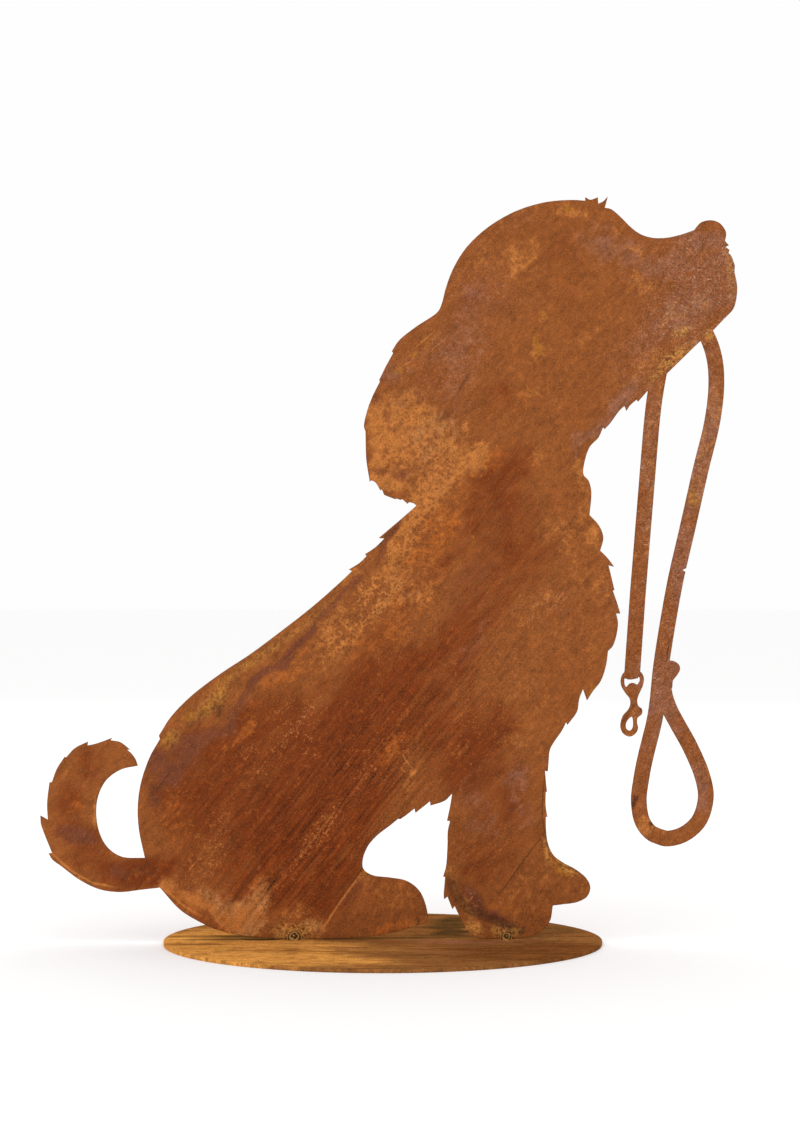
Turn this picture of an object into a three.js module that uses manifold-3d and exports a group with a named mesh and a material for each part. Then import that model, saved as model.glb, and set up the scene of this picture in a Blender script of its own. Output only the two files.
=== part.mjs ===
// Sheet-metal dog sculpture: a sitting, long-eared dog cut out of one steel sheet, with the lead that it
// holds in its mouth cut in one with it. It stands upright on a round steel base, held by two tack welds.
// Millimetres. +X runs towards the dog's nose, +Y away from the viewer and +Z up.
// The origin is the middle of the base's underside.

import * as THREE from "three";
import { mergeVertices } from "three/addons/utils/BufferGeometryUtils.js";
import Module from "manifold-3d";

// Driving sizes
const dogHeight = 597; // from the base's top to the tip of the forelock
const sheetThickness = 2;
const baseDiameter = 352;
const baseThickness = 3;
const baseEdgeBreak = 0.3; // the small bevel round both edges of the base
const leadWidth = 12.6; // the strap of the lead, and of its hand loop
const clipLength = 52.7; // the snap hook at the lead's lower end
const clipLap = 2; // how far the clip's ring reaches up over the end of the strap
const pieceGap = 0.3; // between two pieces that meet

// The two tack welds, in the corner between the sheet's front and the base
const hindWeld = { length: 13, height: 6.6, reach: 6.5 };
const foreWeld = { length: 10, height: 6.2, reach: 6 };

// How finely round edges are followed
const chordError = 0.06;
const samePoint = 0.03; // two points of an edge that are nearer than this are one
const stepsPerPoint = 12;
const baseSegments = 120;
const weldSegments = 28;

// The dog is drawn on a grid, as shares of its own height: x to the right and y down
const grid = { height: 742, ground: 938, middle: 383 };
const gridUnit = dogHeight / grid.height;
const toX = (x) => (x - grid.middle) * gridUnit;
const toZ = (y) => (grid.ground - y) * gridUnit;
const hindWeldX = toX(294.5);
const foreWeldX = toX(506);

// The clip is drawn on a grid of its own: x from the strap's middle and y down from its top
const clipGrid = { length: 65.5 };
const clipUnit = clipLength / clipGrid.length;

// Each run is one smooth stretch of the cut edge. The straight step from a run's last point to the next
// run's first point is the short side of a lock of hair, or nothing where the two points are the same.

const head = [
  [[442.5, 301], [446, 287], [453, 268.5], [466, 247.5], [487, 227.5], [515, 211], [545, 201.8],
    [572, 199.5], [585.3, 200.3]],
  [[585.2, 196.8], [590.5, 199.3], [597.8, 196.8]],
  [[598.2, 203.2], [603, 201], [607.8, 196]],
  [[604.8, 207.3], [611, 208.7], [620, 216], [630, 226], [640, 233.5], [652, 237.3], [665, 237.5],
    [680, 234.5], [694, 229.7]],
];

const muzzle = [
  [[694, 229.7], [701, 222], [711, 219.8], [720, 223], [726, 232], [725, 240.5]],
  [[725, 240.5], [728.8, 244.8]],
  [[725.5, 246.5], [729.5, 249.5]],
  [[728.5, 252.5], [731, 255], [734.8, 265]],
  [[734.5, 272], [736.8, 283], [737, 293], [733.5, 308], [724, 318.5], [713.5, 329.5]],
  [[713.5, 329.5], [700, 341], [666, 374], [647, 391]],
];

const throat = [
  [[647, 391], [638, 401.3]],
  [[636.8, 399], [630, 405], [626.5, 410.3]],
  [[624.5, 405.5], [620, 409.5], [610, 423], [604.8, 428.5]],
  [[603, 427], [598.5, 437], [590, 446], [585, 459.5], [583.5, 474], [588.5, 480], [591.3, 491],
    [589.5, 514.5]],
];

const chest = [
  [[589.5, 514.5], [599, 525], [603.3, 537], [600.2, 550]],
  [[600.2, 550], [608, 558], [614.2, 566.3]],
  [[608.5, 564.8], [611.5, 577], [614.4, 589.5]],
  [[612.8, 590], [617, 602], [620.3, 613]],
  [[616.2, 613], [618, 624], [613, 645], [608, 650.5]],
  [[608, 650.5], [606, 665], [600.7, 680.5], [593, 690.5], [587, 700]],
  [[583, 688.5], [579.3, 698], [577, 711], [567.5, 724.3]],
];

const foreleg = [
  [[566, 721.8], [562, 730], [555, 740], [550, 749], [548.5, 763], [547.8, 770.8]],
  [[545, 770.3], [546, 782], [547, 791]],
  [[545.7, 791.5], [545.7, 806], [547.5, 816.3]],
  [[545.8, 816], [546, 828], [548, 843], [553.5, 854.5], [563, 862], [576, 869], [587, 878.5],
    [590.3, 887], [587, 896], [577, 901.5], [562, 903.8], [552.8, 905]],
  [[552.8, 905], [550, 920], [540, 931.5], [527, 936.5], [515, 938]],
  [[480, 938], [468, 930.5], [461, 918.5], [454.7, 905.5]],
  [[452.4, 908.5], [447.5, 896]],
  [[444, 898.7], [443.8, 893], [445.2, 876.5]],
  [[443.2, 876], [446, 866], [447.5, 845], [447.8, 831], [450, 820.5]],
  [[447, 820], [449.5, 809], [452.3, 793]],
];

const belly = [
  [[452.3, 793], [445, 800], [430.5, 805]],
  [[430, 800.8], [421, 808], [415.5, 812.3]],
  [[414.5, 808], [405, 815.5], [400, 818.8]],
  [[398.5, 818], [390, 825], [377, 835], [368, 845.5], [362.8, 859], [363.5, 868.5], [372, 874.5],
    [390, 877], [407, 880.5], [420, 891], [427.5, 912], [427, 921], [412, 926]],
];

const hindFoot = [
  [[412, 926], [395, 931.5], [365, 936.5], [330, 938]],
  [[275, 938], [250, 936], [220, 930], [200, 921.5], [180, 909], [160, 887]],
];

const tail = [
  [[160, 887], [140, 889.3], [120, 891.5], [100, 888.8], [80, 879.5], [62, 866], [52.5, 859],
    [48.8, 852.8]],
  [[52.3, 852.5], [46, 837], [41, 823], [40.5, 815]],
  [[48, 819.3], [47.2, 803], [49.5, 782]],
  [[52, 781.5], [57, 768], [64.7, 756.3]],
  [[66, 757], [75, 747.5], [88, 741]],
  [[87.5, 745], [97, 742.8], [112.3, 737.2]],
  [[110.5, 739.8], [120, 741.5], [130, 749]],
  [[127, 749], [131, 752.5], [135.7, 759], [137.8, 765.2]],
  [[137.8, 765.2], [121, 769], [106, 780], [97.3, 799], [97.5, 825], [106, 845], [121, 856],
    [145, 857.5]],
];

const back = [
  [[145, 857.5], [139, 829], [137.8, 806], [141, 782], [150, 756], [160, 738.5]],
  [[159, 735], [170, 717.5], [190, 696.5], [220, 673.5], [250, 653.8], [280, 631.5], [310, 608.2],
    [340, 582], [352, 570.5]],
  [[348.8, 569], [360, 562], [366.5, 555.5]],
  [[365, 553.7], [375, 547], [384.3, 538]],
  [[378.8, 537.5], [400, 519.5], [416.5, 505.1]],
];

const ear = [
  [[416.5, 505.1], [413.8, 503], [409.3, 501.6]],
  [[407.4, 503.3], [402.5, 498.8]],
  [[400.2, 499.3], [396.5, 498]],
  [[395.3, 498.8], [384.2, 494.4]],
  [[384.2, 494.4], [381.8, 488.8]],
  [[380.4, 490], [375.5, 482], [371.2, 479.8]],
  [[369.8, 481.3], [366.3, 459], [365.7, 440], [365.5, 431]],
  [[365.5, 431], [364, 426], [366.8, 411.5], [372, 397], [380, 381]],
  [[379.2, 379.5], [385, 367.5], [393.2, 352.5]],
  [[391.8, 350.8], [399, 340], [415, 327], [438, 311], [442.5, 301]],
];

// The lead's middle lines: the short strap down to the clip, and the long strap that runs down from the
// mouth, round the hand loop and up to the place where it is sewn back on itself, with its end turned up
const shortStrap = [[661, 362], [654.3, 400], [647.6, 470], [642.1, 540], [637.3, 600], [633.8, 650],
  [632.2, 673]];
const longStrap = [[697, 322], [706.7, 335], [714.3, 357], [716.4, 383], [712.5, 420], [700.5, 470],
  [687, 530], [675.5, 580], [664.9, 640], [660.3, 672], [657.6, 700], [654.5, 720], [649.6, 740],
  [644.7, 760], [641, 780], [638.8, 800], [642.5, 821], [652, 833], [666, 838]];
const loopReturn = [[652, 833], [666, 838], [684, 833.5], [699, 820], [705.8, 797], [702.5, 776],
  [690, 746], [677.5, 723.5], [668.5, 706], [664, 690], [664.3, 668]];
const sewnEnd = [[664, 661.5], [672.5, 660.2], [678.6, 663.7], [680, 668.5], [677.3, 674.3], [673, 680],
  [671.6, 688], [664, 690]];

// A small nick in the long strap's outer edge: the strap's middle there, and the nick's height and depth
const strapNick = { middle: [677.9, 569.6], height: 4.3, depth: 2.6 };

const clipEdge = [[0, 0], [8, 0.5], [11.5, 6], [10.8, 14], [7, 22.5], [5, 29], [6, 34.6], [9.8, 38],
  [9.6, 43], [5.4, 46.8], [4.8, 51.5], [5.9, 57], [3.2, 62.6], [-2, 65.5], [-8, 63.5], [-11.6, 57.5],
  [-11.4, 50.5], [-8.8, 43.8], [-4.2, 38.8], [-1.9, 33.5], [-2.4, 27.8], [-6.8, 22], [-11, 14.5],
  [-11.4, 8], [-8, 1.2]];
const clipWindow = [
  [[-7.8, 7.3], [-2.6, 8.6], [5.6, 7.2]],
  [[5.6, 7.2], [6.3, 5.8], [7.3, 6.5], [7.4, 10], [5, 13.8]],
  [[5, 13.8], [1, 11.8], [-2.6, 12.6], [-6, 16.2]],
  [[-6, 16.2], [-7.6, 13.5], [-7.8, 7.3]],
];
const clipEye = [[-0.4, 45.8], [0.9, 51.5], [0, 57.5], [-2.6, 59.6], [-5.8, 57.6], [-6.3, 53],
  [-4, 48.3]];

// A smooth line through points, with only as many steps as the chord error asks for
function smoothLine(points, closed = false) {
  const line = new THREE.CatmullRomCurve3(points.map(([x, y]) => new THREE.Vector3(x, y, 0)), closed,
    "centripetal");
  const fine = line.getPoints(points.length * stepsPerPoint).map(({ x, y }) => new THREE.Vector2(x, y));
  const kept = thinned(fine);
  return closed ? kept.slice(0, -1) : kept;
}

// Drops the points that stand less than the chord error off the line between the points that are kept
function thinned(points) {
  if (points.length < 3) {
    return points;
  }
  const first = points[0];
  const last = points[points.length - 1];
  const along = last.clone().sub(first);
  const length = along.length();
  let farthest = 0;
  let farthestIndex = 0;
  for (let index = 1; index < points.length - 1; index += 1) {
    const offset = points[index].clone().sub(first);
    const distance = length > chordError ? Math.abs(along.cross(offset)) / length : offset.length();
    if (distance > farthest) {
      farthest = distance;
      farthestIndex = index;
    }
  }
  if (farthest < chordError) {
    return [first, last];
  }
  const before = thinned(points.slice(0, farthestIndex + 1));
  return before.concat(thinned(points.slice(farthestIndex)).slice(1));
}

const onGrid = ([x, y]) => [toX(x), toZ(y)];

// One closed edge made of runs, without the doubled points where runs meet
function edgeOfRuns(runs, place) {
  const edge = [];
  for (const run of runs) {
    for (const point of smoothLine(run.map(place))) {
      const previous = edge[edge.length - 1];
      if (!previous || previous.distanceTo(point) > samePoint) {
        edge.push(point);
      }
    }
  }
  if (edge[0].distanceTo(edge[edge.length - 1]) < samePoint) {
    edge.pop();
  }
  return edge;
}

// The outline of a strap of even width along its middle line
function strapEdge(middleLine, width) {
  const middle = smoothLine(middleLine.map(onGrid));
  const leftSide = [];
  const rightSide = [];
  middle.forEach((point, index) => {
    const before = middle[Math.max(index - 1, 0)];
    const after = middle[Math.min(index + 1, middle.length - 1)];
    const along = after.clone().sub(before).normalize();
    const side = new THREE.Vector2(-along.y, along.x).multiplyScalar(width / 2);
    leftSide.push(point.clone().add(side));
    rightSide.push(point.clone().sub(side));
  });
  return leftSide.concat(rightSide.reverse());
}

// A plate of the sheet's thickness with the given edge and holes, lying flat.
// Each hole's points run the other way round from the edge's.
function plate(edge, holes = []) {
  const shape = new THREE.Shape(edge);
  const clockwise = THREE.ShapeUtils.isClockWise(edge);
  shape.holes = holes.map((hole) => {
    const sameWay = THREE.ShapeUtils.isClockWise(hole) === clockwise;
    return new THREE.Path(sameWay ? hole.toReversed() : hole);
  });
  return new THREE.ExtrudeGeometry(shape, { depth: sheetThickness, bevelEnabled: false });
}

const wasm = await Module();
wasm.setup();

function toSolid(geometry) {
  const bare = geometry.clone();
  bare.deleteAttribute("normal");
  bare.deleteAttribute("uv");
  const merged = mergeVertices(bare);
  return new wasm.Manifold(new wasm.Mesh({
    numProp: 3,
    vertProperties: merged.attributes.position.array,
    triVerts: new Uint32Array(merged.index.array),
  }));
}

function toGeometry(solid) {
  const { vertProperties, triVerts } = solid.getMesh();
  const geometry = new THREE.BufferGeometry();
  geometry.setAttribute("position", new THREE.BufferAttribute(vertProperties, 3));
  geometry.setIndex(new THREE.BufferAttribute(triVerts, 1));
  geometry.computeVertexNormals();
  return geometry;
}

// The clip, hung from the end of the short strap, with the window of its ring and the eye of its hook
function clipPlate() {
  const [endX, endY] = shortStrap[shortStrap.length - 1];
  const place = ([x, y]) => [toX(endX) + x * clipUnit, toZ(endY) + clipLap - y * clipUnit];
  return plate(
    smoothLine(clipEdge.map(place), true),
    [edgeOfRuns(clipWindow, place), smoothLine(clipEye.map(place), true)],
  );
}

// What the nick takes out: a triangle that points in from just outside the strap's edge
function nickPlate() {
  const [middleX, middleY] = onGrid(strapNick.middle);
  const edgeX = middleX + leadWidth / 2;
  const outerX = edgeX + strapNick.depth / 2;
  return plate([
    new THREE.Vector2(outerX, middleY + strapNick.height / 2),
    new THREE.Vector2(edgeX - strapNick.depth, middleY),
    new THREE.Vector2(outerX, middleY - strapNick.height / 2),
  ]);
}

function dogSilhouette() {
  const body = [head, muzzle, throat, chest, foreleg, belly, hindFoot, tail, back, ear].flat();
  const pieces = [
    plate(edgeOfRuns(body, onGrid)),
    plate(strapEdge(shortStrap, leadWidth)),
    plate(strapEdge(longStrap, leadWidth)),
    plate(strapEdge(loopReturn, leadWidth)),
    plate(smoothLine(sewnEnd.map(onGrid), true)),
    clipPlate(),
  ];
  const joined = pieces.map(toSolid).reduce((whole, piece) => whole.add(piece));
  const mesh = new THREE.Mesh(toGeometry(joined.subtract(toSolid(nickPlate()))),
    new THREE.MeshStandardMaterial({ color: 0x8f5229, roughness: 0.86, metalness: 0.25 }));
  mesh.name = "dog_silhouette";
  mesh.rotation.x = Math.PI / 2;
  mesh.position.set(0, sheetThickness / 2, baseThickness + pieceGap);
  return mesh;
}

function baseDisc() {
  const radius = baseDiameter / 2;
  const profile = [
    [0, 0],
    [radius - baseEdgeBreak, 0],
    [radius, baseEdgeBreak],
    [radius, baseThickness - baseEdgeBreak],
    [radius - baseEdgeBreak, baseThickness],
    [0, baseThickness],
  ].map(([x, y]) => new THREE.Vector2(x, y));
  const mesh = new THREE.Mesh(new THREE.LatheGeometry(profile, baseSegments),
    new THREE.MeshStandardMaterial({ color: 0x8a4a20, roughness: 0.8, metalness: 0.3 }));
  mesh.name = "base_disc";
  mesh.rotation.x = Math.PI / 2;
  return mesh;
}

// A tack weld: the quarter of a flattened ball that fills the corner of the sheet's front and the base
function tackWeld(name, x, { length, height, reach }) {
  const ball = new THREE.SphereGeometry(1, weldSegments, weldSegments / 2);
  ball.scale(length / 2, reach, height);
  const corner = new THREE.BoxGeometry(length * 2, reach * 2, height * 2);
  corner.translate(0, -reach, height);
  const mesh = new THREE.Mesh(toGeometry(toSolid(ball).intersect(toSolid(corner))),
    new THREE.MeshStandardMaterial({ color: 0x5a3720, roughness: 0.7, metalness: 0.4 }));
  mesh.name = name;
  mesh.position.set(x, -sheetThickness / 2 - pieceGap, baseThickness + pieceGap);
  return mesh;
}

const sculpture = new THREE.Group();
sculpture.add(
  baseDisc(),
  dogSilhouette(),
  tackWeld("hind_weld", hindWeldX, hindWeld),
  tackWeld("fore_weld", foreWeldX, foreWeld),
);

export default sculpture;
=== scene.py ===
"""A sheet-metal dog sculpture: weathered steel sheet on a round base, held by two tack welds.

Lengths are in metres. +X runs towards the dog's nose, +Y away from the viewer and +Z up.
"""

import math
from functools import reduce

import bmesh
import bpy
import numpy as np
from mathutils import Matrix, Vector, noise


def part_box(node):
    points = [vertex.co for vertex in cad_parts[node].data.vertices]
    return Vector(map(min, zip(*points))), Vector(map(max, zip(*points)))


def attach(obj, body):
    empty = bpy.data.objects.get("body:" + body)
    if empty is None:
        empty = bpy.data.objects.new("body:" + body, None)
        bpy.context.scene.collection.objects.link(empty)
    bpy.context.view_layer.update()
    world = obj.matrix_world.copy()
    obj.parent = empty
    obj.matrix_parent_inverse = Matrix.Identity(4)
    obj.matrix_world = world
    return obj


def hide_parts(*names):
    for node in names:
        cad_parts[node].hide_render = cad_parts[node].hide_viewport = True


bl_info = {
    "name": "Sheet-Metal Dog Sculpture",
    "version": (1, 0, 0),
    "blender": (4, 5, 0),
    "location": "View3D > Sidebar > Sculpture",
    "description": "Dresses a cut-out steel dog on its round base with a weathered rust patina",
    "category": "Add Mesh",
}

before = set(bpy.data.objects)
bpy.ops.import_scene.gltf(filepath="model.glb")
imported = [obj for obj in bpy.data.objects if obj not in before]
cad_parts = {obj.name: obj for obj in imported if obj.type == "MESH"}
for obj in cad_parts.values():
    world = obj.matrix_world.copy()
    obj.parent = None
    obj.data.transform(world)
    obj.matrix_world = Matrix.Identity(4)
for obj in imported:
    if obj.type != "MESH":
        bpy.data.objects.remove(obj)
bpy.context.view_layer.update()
SHEET_LOW, SHEET_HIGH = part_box("dog_silhouette")
BASE_LOW, BASE_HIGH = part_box("base_disc")
X, Y, Z = range(3)

# The CAD nodes of the welds, and the beads that stand for them
WELDS = {"hind_weld": "hind_bead", "fore_weld": "fore_bead"}

FLAT_ANGLE = math.radians(0.4)
SHARP_ANGLE = math.radians(35)
MERGE_DISTANCE = 1e-6

# The sheet: it buckles fully only above HELD_HEIGHT, and corners below FOOT_LEVEL stand on the base
HELD_HEIGHT = 0.06
FOOT_LEVEL = 1e-5

# The welds: the way their middle faces, the depth of their lumps and how far their crust reaches
WELD_CROWN = Vector((0.0, -0.86, 0.5))
WELD_LUMPS = 0.0003
WELD_HALO = 0.017

# The stage: the point that the lights face, and the long side of the camera's sensor in millimetres
LIT_POINT = Vector((0, 0, 0.3))
SENSOR_SIDE = 36

# The patina is placed on the grid that the dog is drawn on, with x to the right and y down. The dog
# stands on the line GRID_GROUND, the base's middle is at GRID_MIDDLE and the welds are below
# WELD_LINE.
GRID_GROUND = 938
GRID_MIDDLE = 383
GRID_HEIGHT = 742
GRID_UNIT = (SHEET_HIGH.z - SHEET_LOW.z) / GRID_HEIGHT
WELD_LINE = 900

# Every run moves the patches about by the same noise, which starts from here
NOISE_SEED = 4

# How far the patches are moved about, in grid units, and in millimetres along X and Y on the base
FRONT_DRIFT = 15
BACK_DRIFT = 25
BACK_WANDER = 90
CRUST_DRIFT = 5
BASE_DRIFT = (30, 6)

# A patch has faded out PATCH_END half lengths from its middle, and a mark MARK_END grid units from
# its line. NO_MARK stands for a distance to no mark at all.
PATCH_END = 1.25
MARK_END = 8
NO_MARK = 50.0

# The tilt of the sheet's streaks in degrees from level, and where the back's noise is taken from
BRUSHED_TILT = 52
BACK_PATTERN = 3.7

# Each patch is (x, y, half length, half width, tilt in degrees, strength). The tilt turns the
# length from level towards the upper right.

# Deep red-brown, where the sheet stayed wet longest
DEEP_PATCHES = [
    (300, 800, 150, 95, 52, 1.0),
    (400, 690, 120, 75, 52, 0.8),
    (185, 800, 50, 75, 0, 0.7),
    (235, 740, 45, 35, 45, 0.5),
    (320, 870, 75, 55, 52, 0.8),
    (495, 800, 48, 95, 8, 0.45),
    (486, 865, 40, 50, 0, 0.3),
    (470, 740, 70, 45, 52, 0.65),
    (490, 600, 70, 40, 52, 0.4),
    (515, 560, 60, 45, 52, 0.45),
    (505, 490, 45, 60, 40, 0.35),
    (240, 740, 90, 44, 45, 0.5),
    (385, 660, 70, 30, 50, 0.35),
    (470, 540, 60, 40, 52, 0.45),
    (505, 470, 60, 30, 52, 0.45),
    (418, 588, 48, 20, 52, 0.4),
    (500, 398, 30, 22, 40, 0.3),
    (100, 758, 34, 24, 20, 0.6),
    (70, 790, 16, 30, 0, 0.3),
    (560, 690, 30, 35, 0, 0.3),
    (132, 872, 44, 20, 0, 1.0),
    (152, 866, 26, 14, 0, 0.8),
    (88, 850, 30, 26, 0, 0.7),
    (66, 806, 20, 44, 0, 0.6),
    (75, 838, 30, 14, 170, 0.7),
    (474, 288, 44, 30, 30, 0.4),
    (432, 385, 44, 22, 50, 0.35),
    (590, 300, 55, 30, 30, 0.15),
    (560, 260, 40, 16, 40, 0.2),
]

# Golden-brown bloom in soft clouds
OCHRE_PATCHES = [
    (522, 257, 28, 18, 30, 0.42),
    (508, 272, 24, 8, 30, 0.15),
    (480, 262, 24, 16, 45, 0.3),
    (546, 312, 14, 8, 60, 0.25),
    (528, 352, 8, 18, 0, 0.3),
    (534, 384, 18, 10, 40, 0.4),
    (538, 330, 50, 12, 65, 0.2),
    (540, 214, 44, 7, 8, 0.35),
    (574, 206, 18, 10, 0, 0.4),
    (640, 243, 14, 10, 0, 0.6),
    (636, 277, 12, 22, 0, 0.5),
    (610, 222, 12, 9, 0, 0.5),
    (590, 330, 50, 20, 40, 0.2),
    (404, 408, 40, 28, 52, 0.6),
    (465, 428, 9, 16, 0, 0.6),
    (486, 462, 16, 12, 52, 0.4),
    (416, 438, 50, 34, 52, 0.6),
    (444, 468, 46, 24, 52, 0.65),
    (380, 442, 22, 32, 60, 0.7),
    (377, 430, 12, 30, 0, 0.7),
    (375, 466, 10, 22, 0, 0.5),
    (395, 480, 24, 12, 150, 0.6),
    (426, 504, 40, 22, 52, 0.75),
    (482, 447, 24, 13, 40, 0.75),
    (462, 470, 20, 14, 52, 0.5),
    (532, 455, 20, 14, 40, 0.3),
    (385, 484, 20, 8, 150, 0.7),
    (408, 542, 40, 16, 52, 0.65),
    (388, 580, 44, 24, 50, 0.55),
    (352, 614, 60, 28, 46, 0.45),
    (322, 650, 60, 22, 45, 0.3),
    (408, 598, 50, 24, 52, 0.35),
    (590, 505, 14, 40, 10, 0.3),
    (572, 540, 26, 44, 20, 0.3),
    (597, 540, 12, 24, 0, 0.4),
    (600, 590, 16, 34, 0, 0.35),
    (547, 600, 40, 12, 45, 0.3),
    (580, 474, 8, 16, 0, 0.3),
    (570, 640, 30, 24, 45, 0.25),
    (520, 690, 40, 14, 50, 0.25),
    (392, 752, 24, 12, 40, 0.3),
    (410, 778, 20, 10, 40, 0.4),
    (452, 752, 26, 10, 52, 0.3),
    (520, 725, 40, 12, 45, 0.35),
    (298, 630, 34, 5, 38, 0.15),
    (252, 663, 36, 5, 38, 0.1),
    (208, 701, 30, 8, 44, 0.15),
    (176, 738, 14, 8, 50, 0.45),
    (350, 580, 20, 7, 42, 0.5),
    (192, 846, 20, 30, 50, 0.3),
    (213, 862, 24, 14, 50, 0.25),
    (182, 894, 34, 14, 140, 0.5),
    (212, 908, 40, 10, 155, 0.6),
    (253, 902, 46, 24, 30, 0.55),
    (290, 918, 30, 12, 10, 0.35),
    (165, 884, 14, 9, 150, 0.4),
    (312, 840, 44, 8, 52, 0.35),
    (384, 902, 38, 20, 0, 0.3),
    (362, 884, 14, 11, 0, 0.55),
    (410, 896, 22, 18, 0, 0.2),
    (540, 885, 44, 24, 30, 0.25),
    (524, 912, 30, 15, 30, 0.2),
    (575, 885, 20, 12, 0, 0.2),
    (472, 929, 13, 9, 130, 1.0),
    (66, 864, 18, 4, 140, 0.7),
    (84, 879, 18, 5, 150, 0.6),
    (70, 762, 16, 6, 50, 0.2),
    (95, 815, 4, 26, 5, 0.6),
    (126, 872, 14, 8, 40, 0.3),
    (95, 750, 26, 4, 20, 0.1),
    (660, 362, 18, 8, 40, 0.6),
    (645, 366, 34, 10, 40, 0.4),
    (672, 318, 20, 6, 20, 0.3),
    (700, 330, 16, 8, 30, 0.4),
    (695, 497, 7, 11, 20, 0.8),
    (714, 337, 10, 8, 0, 0.6),
    (655, 384, 7, 9, 0, 0.5),
    (650, 833, 12, 9, 0, 0.8),
    (660, 842, 20, 5, 0, 0.5),
    (630, 722, 9, 16, 0, 0.2),
    (644, 560, 8, 30, 0, 0.25),
    (712, 400, 8, 22, 0, 0.35),
]

# Yellow-green, fresh rust: along the back's edge, in scratches and where the cut edge weeps
GOLD_PATCHES = [
    (208, 699, 36, 10, 46, 0.6),
    (196, 714, 12, 6, 48, 0.35),
    (175, 739, 10, 6, 50, 0.6),
    (262, 652, 46, 7, 38, 0.5),
    (308, 620, 38, 6, 38, 0.4),
    (350, 582, 22, 5, 42, 0.45),
    (152, 775, 7, 24, 10, 0.25),
    (574, 205, 11, 7, 0, 0.6),
    (592, 690, 6, 9, 0, 0.9),
    (631, 722, 8, 9, 0, 0.4),
    (680, 331, 9, 5, 20, 0.35),
    (667, 365, 9, 4, 40, 0.35),
    (680, 355, 10, 4, 40, 0.35),
    (712, 336, 7, 5, 0, 0.7),
    (717, 240, 10, 7, 0, 0.4),
    (446, 898, 3, 8, 0, 0.8),
    (469, 924, 10, 3, 130, 0.6),
    (480, 934, 9, 2.5, 160, 0.6),
    (363, 874, 8, 4, 30, 0.8),
    (547, 845, 3, 22, 0, 0.7),
    (560, 862, 14, 3.5, 148, 0.8),
    (56, 857, 10, 3.5, 135, 0.2),
    (72, 871, 13, 4, 145, 0.3),
    (178, 899, 20, 5, 140, 0.3),
    (196, 912, 14, 4, 150, 0.3),
    (528, 348, 6, 16, 0, 0.65),
    (543, 314, 12, 7, 50, 0.55),
    (425, 342, 20, 8, 50, 0.5),
    (405, 362, 14, 6, 40, 0.5),
    (640, 250, 6, 14, 0, 0.5),
    (525, 262, 14, 8, 20, 0.35),
    (594, 520, 4, 26, 0, 0.35),
    (192, 842, 10, 6, 50, 0.4),
]

# Purple-brown bands
PLUM_PATCHES = [
    (388, 545, 34, 6, 50, 0.75),
    (352, 590, 38, 5, 44, 0.7),
    (316, 624, 42, 6, 44, 0.75),
    (283, 656, 42, 7, 44, 0.75),
    (252, 688, 40, 9, 44, 0.75),
    (222, 716, 38, 10, 44, 0.7),
    (194, 744, 32, 12, 44, 0.7),
    (158, 790, 12, 40, 5, 0.3),
    (470, 585, 60, 26, 52, 0.45),
    (455, 545, 30, 12, 52, 0.35),
    (164, 764, 18, 28, 30, 0.75),
    (152, 800, 9, 30, 0, 0.4),
    (450, 405, 44, 5, 52, 0.4),
    (466, 372, 30, 6, 55, 0.3),
    (500, 922, 26, 10, 160, 0.7),
    (500, 790, 30, 50, 0, 0.25),
    (352, 900, 40, 8, 52, 0.45),
    (335, 880, 40, 7, 52, 0.35),
    (468, 902, 22, 10, 140, 0.8),
    (74, 838, 26, 9, 170, 0.55),
    (115, 868, 14, 12, 60, 0.6),
    (142, 872, 22, 9, 0, 0.4),
    (80, 842, 40, 12, 175, 0.5),
    (382, 401, 10, 14, 20, 0.5),
    (384, 464, 16, 7, 10, 0.65),
    (404, 475, 13, 8, 120, 0.6),
    (395, 434, 15, 6, 20, 0.5),
    (508, 512, 34, 4, 50, 0.4),
    (480, 545, 30, 6, 52, 0.35),
    (625, 300, 30, 14, 40, 0.2),
]

# Pinkish brown: on the muzzle and the lead, and towards the throat
MAUVE_PATCHES = [
    (706, 284, 74, 50, 20, 0.45),
    (704, 244, 40, 14, 10, 0.6),
    (668, 262, 30, 14, 0, 0.45),
    (660, 330, 60, 26, 40, 0.5),
    (630, 250, 50, 26, 0, 0.55),
    (710, 235, 20, 16, 0, 0.5),
    (600, 422, 40, 11, 46, 0.6),
    (576, 450, 9, 26, 0, 0.4),
    (620, 395, 40, 10, 42, 0.5),
    (468, 372, 56, 26, 60, 0.35),
    (455, 330, 36, 22, 50, 0.4),
    (474, 296, 44, 22, 30, 0.4),
    (452, 352, 26, 18, 40, 0.3),
    (396, 372, 20, 12, 40, 0.4),
    (650, 480, 14, 150, 0, 0.45),
    (700, 430, 30, 120, 0, 0.65),
    (680, 560, 24, 90, 0, 0.6),
    (662, 700, 38, 70, 0, 0.6),
    (646, 780, 14, 50, 0, 0.4),
    (702, 780, 16, 46, 0, 0.7),
    (478, 810, 20, 60, 5, 0.4),
    (522, 795, 24, 40, 5, 0.5),
    (160, 762, 20, 22, 30, 0.15),
    (276, 676, 44, 8, 44, 0.25),
    (236, 722, 40, 9, 44, 0.25),
    (470, 640, 60, 20, 52, 0.25),
    (556, 600, 60, 40, 52, 0.15),
    (592, 232, 36, 24, 30, 0.35),
    (510, 224, 34, 14, 20, 0.2),
]

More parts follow.
